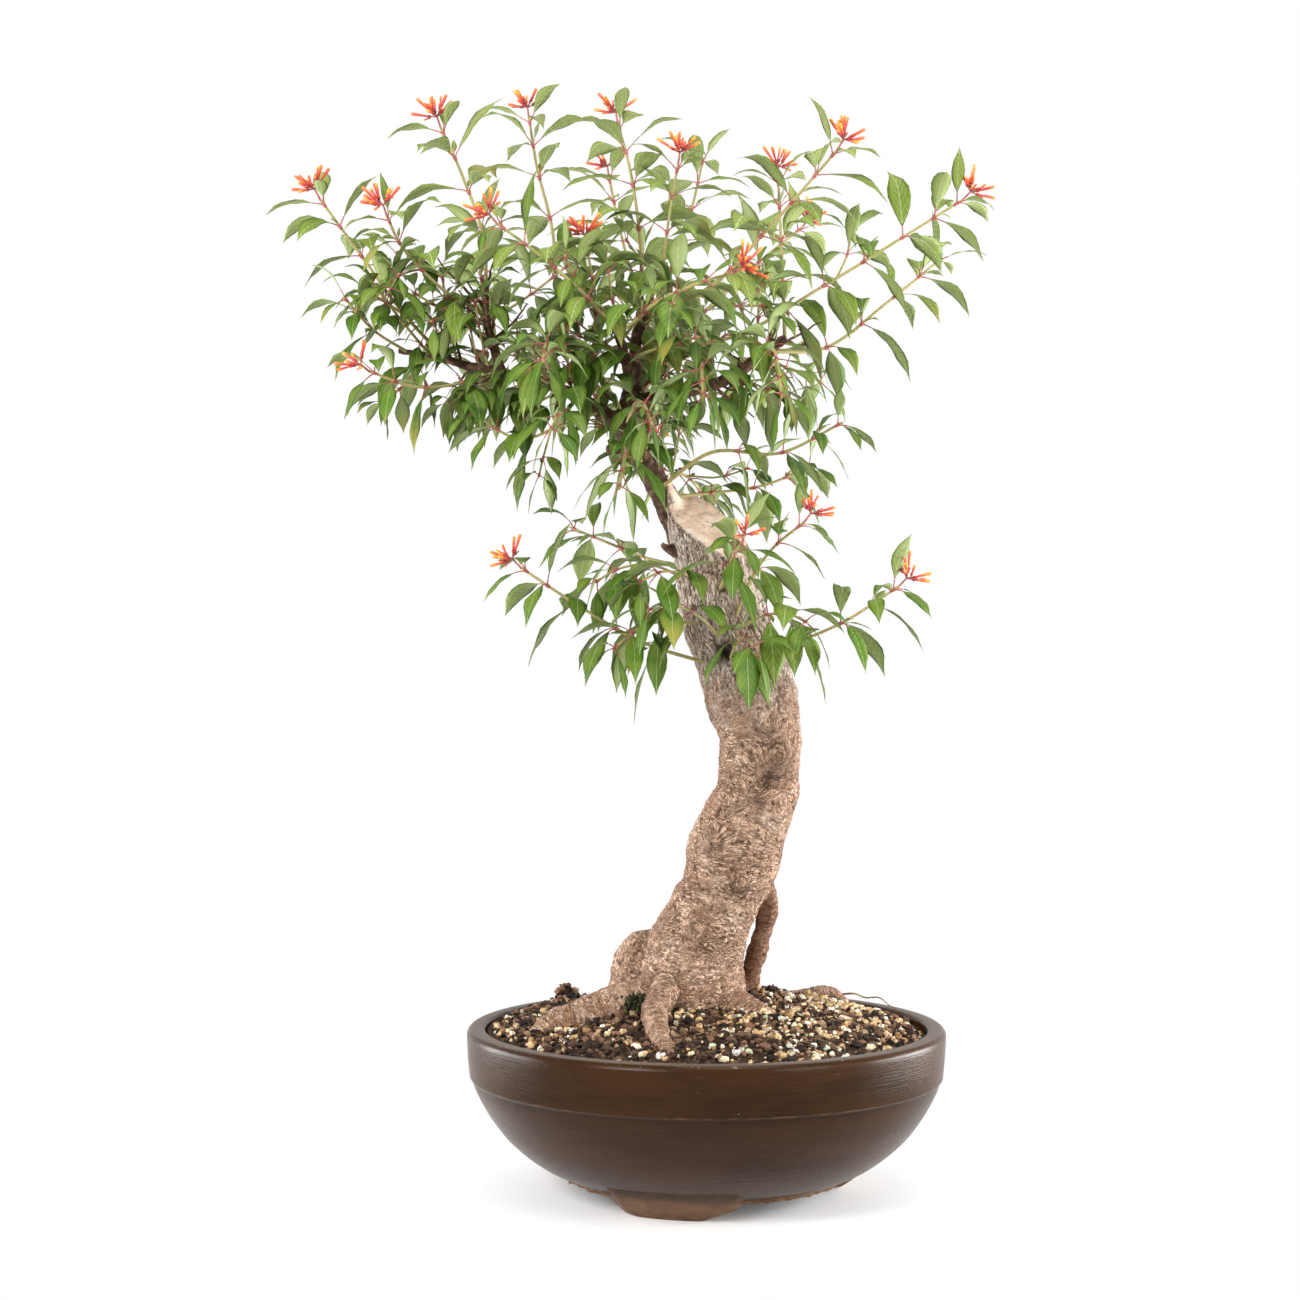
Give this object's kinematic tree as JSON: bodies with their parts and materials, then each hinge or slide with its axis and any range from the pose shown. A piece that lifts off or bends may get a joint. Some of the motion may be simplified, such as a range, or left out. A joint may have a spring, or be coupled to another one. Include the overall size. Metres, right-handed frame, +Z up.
{
  "type": "firebush bonsai",
  "caption": "Flowering firebush bonsai with a curved, chopped trunk and surface roots, leafy sprays tipped with orange tubular blooms, in a round footed clay pot.",
  "frame": {"origin": "middle of the footprint of the whole tree and pot, on the table under the pot's feet", "axes": "+Z up along the tree, +X to the right as seen from the front, the front looks along -Y; the pot's own axis stands at X = 0.060, Y = -0.008"},
  "size_m": [0.5986, 0.4206, 0.9482],
  "materials": {
    "pot_clay": "satin fired clay, olive brown",
    "screen": "matte",
    "soil": "loose bark and clay granules",
    "bark": "wrinkled tan bark",
    "leaves": "soft leaf",
    "blooms": "satin petals"
  },
  "bodies": {
    "root": {"pot": "pot_clay", "drainage_screen": "screen", "soil": "soil", "trunk": "bark", "spray_top_left": "leaves", "spray_top_mid_left": "leaves", "spray_top_middle": "leaves", "spray_far_left_high": "leaves", "spray_left_high": "leaves", "spray_front_middle": "leaves", "spray_left_low": "leaves", "spray_top_mid_right": "leaves", "spray_top_right": "leaves", "spray_right_high": "leaves", "spray_far_right_high": "leaves", "spray_right_low": "leaves", "spray_right_hanging": "leaves", "spray_right_under": "leaves", "spray_lower_left": "leaves", "spray_lower_left_back": "leaves", "spray_lower_right": "leaves", "spray_lower_right_up": "leaves", "spray_lower_front": "leaves", "spray_left_hanging": "leaves", "spray_front_left": "leaves", "spray_front_left_low": "leaves", "spray_front_low": "leaves", "spray_front_right_low": "leaves", "spray_front_under": "leaves", "spray_front_right": "leaves", "spray_front_high": "leaves", "spray_front_left_high": "leaves", "spray_back_left_high": "leaves", "spray_back_middle_high": "leaves", "spray_back_right_high": "leaves", "spray_back_left": "leaves", "spray_back_right": "leaves", "spray_back_low": "leaves", "spray_back_under": "leaves", "spray_top_back": "leaves", "bloom_top_left": "blooms", "bloom_top_mid_left": "blooms", "bloom_top_middle": "blooms", "bloom_far_left_high": "blooms", "bloom_left_high": "blooms", "bloom_front_middle": "blooms", "bloom_left_low": "blooms", "bloom_top_mid_right": "blooms", "bloom_top_right": "blooms", "bloom_right_high": "blooms", "bloom_far_right_high": "blooms", "bloom_lower_left": "blooms", "bloom_lower_right": "blooms", "bloom_lower_right_up": "blooms", "bloom_lower_front": "blooms", "bloom_front_high": "blooms", "bloom_front_left_high": "blooms", "bloom_back_middle_high": "blooms", "bloom_back_right_high": "blooms", "bloom_back_low": "blooms"}
  },
  "joints": []
}
